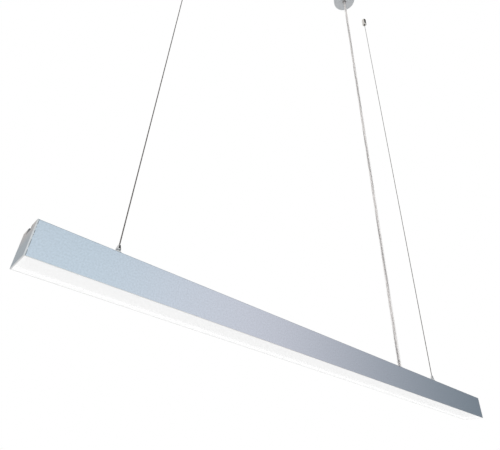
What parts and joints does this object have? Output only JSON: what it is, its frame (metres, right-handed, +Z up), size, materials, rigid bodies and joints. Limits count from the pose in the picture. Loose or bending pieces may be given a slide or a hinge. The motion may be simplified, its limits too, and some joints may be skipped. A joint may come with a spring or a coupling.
{
  "type": "linear pendant light",
  "caption": "Square aluminium linear pendant light with an opal diffuser, hung level from the ceiling on two steel wires with a clear power cord.",
  "frame": {"origin": "on the ceiling, midway between the two wires' ceiling couplers", "axes": "+X along the lamp, +Y across it, +Z up; the picture's camera stands on the -X, -Y side, below the lamp"},
  "size_m": [1.2, 0.09, 1.71],
  "materials": {
    "anodised_aluminium": "silver anodised extrusion with a fine speckle",
    "opal_diffuser": "opal white, even and smooth",
    "white_sheet_steel": "white powder coat",
    "white_circuit_board": "white solder mask",
    "light_package": "yellow phosphor in a white frame",
    "driver_plastic": "fine moulded texture",
    "zinc_steel": "zinc plated",
    "terminal_plastic": "moulded polyamide",
    "core_insulation": "smooth insulation",
    "chrome_plate": "bright plated",
    "spring_steel": "bare spring steel",
    "satin_nickel": "satin nickel plate",
    "wire_rope": "seven-strand stainless rope",
    "clear_cord": "clear sheath over grey cores",
    "gland_nylon": "light grey nylon",
    "canopy_paint": "silver-grey powder coat"
  },
  "bodies": {
    "ceiling_fittings": {"ceiling_coupler_base_left": "satin_nickel", "ceiling_coupler_base_right": "satin_nickel", "ceiling_coupler_barrel_left": "satin_nickel", "ceiling_coupler_barrel_right": "satin_nickel", "canopy_base_plate": "canopy_paint", "canopy_cup": "canopy_paint", "canopy_cup_screws": "zinc_steel", "canopy_gland": "gland_nylon", "canopy_gland_nut": "gland_nylon", "canopy_terminal_block": "terminal_plastic", "canopy_cores": "core_insulation", "power_cord_canopy_end": "clear_cord"},
    "wire_tops": {"wire_end_ball_left": "wire_rope", "wire_end_ball_right": "wire_rope"},
    "left_wire": {"wire_left": "wire_rope"},
    "left_grip_point": {"wire_foot_left": "wire_rope"},
    "right_wire": {"wire_right": "wire_rope"},
    "hanging_cord": {"power_cord": "clear_cord"},
    "left_release": {"gripper_nose_left": "chrome_plate", "gripper_balls_left": "spring_steel"},
    "right_release": {"gripper_nose_right": "chrome_plate", "gripper_balls_right": "spring_steel"},
    "lamp": {"housing": "anodised_aluminium", "end_cap_left": "anodised_aluminium", "end_cap_right": "anodised_aluminium", "diffuser": "opal_diffuser", "gear_tray": "white_sheet_steel", "light_board_left": "white_circuit_board", "light_board_right": "white_circuit_board", "light_packages": "light_package", "driver": "driver_plastic", "driver_screws": "zinc_steel", "slot_nut_screw_left": "zinc_steel", "slot_nut_screw_right": "zinc_steel", "slot_nut_left": "zinc_steel", "slot_nut_right": "zinc_steel", "mains_terminal_block": "terminal_plastic", "supply_cores": "core_insulation", "driver_leads": "core_insulation", "board_leads": "core_insulation", "gripper_body_left": "chrome_plate", "gripper_body_right": "chrome_plate", "gripper_spring_left": "spring_steel", "gripper_spring_right": "spring_steel", "wire_tail_left": "wire_rope", "wire_tail_right": "wire_rope", "power_cord_lamp_end": "clear_cord", "cord_gland": "gland_nylon", "cord_gland_nut": "gland_nylon"}
  },
  "joints": [
    {"name": "swing_across", "type": "hinge", "parent": "ceiling_fittings", "child": "wire_tops", "pos_m": [0, 0, -0.03], "axis": [1, 0, 0], "range_deg": [-15, 15]},
    {"name": "swing_along", "type": "hinge", "parent": "wire_tops", "child": "left_wire", "pos_m": [-0.4425, 0, -0.03], "axis": [0, 1, 0], "range_deg": [-12, 12]},
    {"name": "right_wire_swing", "type": "hinge", "parent": "wire_tops", "child": "right_wire", "pos_m": [0.4425, 0, -0.03], "axis": [0, 1, 0], "range_deg": [-12, 12]},
    {"name": "cord_swing", "type": "hinge", "parent": "wire_tops", "child": "hanging_cord", "pos_m": [0.2875, 0, -0.03], "axis": [0, 1, 0], "range_deg": [-12, 12]},
    {"name": "height", "type": "slide", "parent": "left_wire", "child": "left_grip_point", "axis": [0, 0, 1], "range_m": [0, 0.9], "deforming": ["wire_left", "wire_right", "power_cord"]},
    {"name": "lamp_level", "type": "hinge", "parent": "left_grip_point", "child": "lamp", "pos_m": [-0.4425, 0, -1.636], "axis": [0, 1, 0], "range_deg": [-12, 12]},
    {"name": "release_left", "type": "slide", "parent": "lamp", "child": "left_release", "axis": [0, 0, -1], "range_m": [0, 0.0025], "stiffness_N_per_m": 900, "springref_m": -0.0015, "deforming": ["gripper_spring_left"]},
    {"name": "release_right", "type": "slide", "parent": "lamp", "child": "right_release", "axis": [0, 0, -1], "range_m": [0, 0.0025], "stiffness_N_per_m": 900, "springref_m": -0.0015, "deforming": ["gripper_spring_right"]}
  ],
  "couplings": [
    {"joint": "right_wire_swing", "follows": "swing_along", "ratio": 1},
    {"joint": "cord_swing", "follows": "swing_along", "ratio": 1},
    {"joint": "lamp_level", "follows": "swing_along", "ratio": -1}
  ]
}
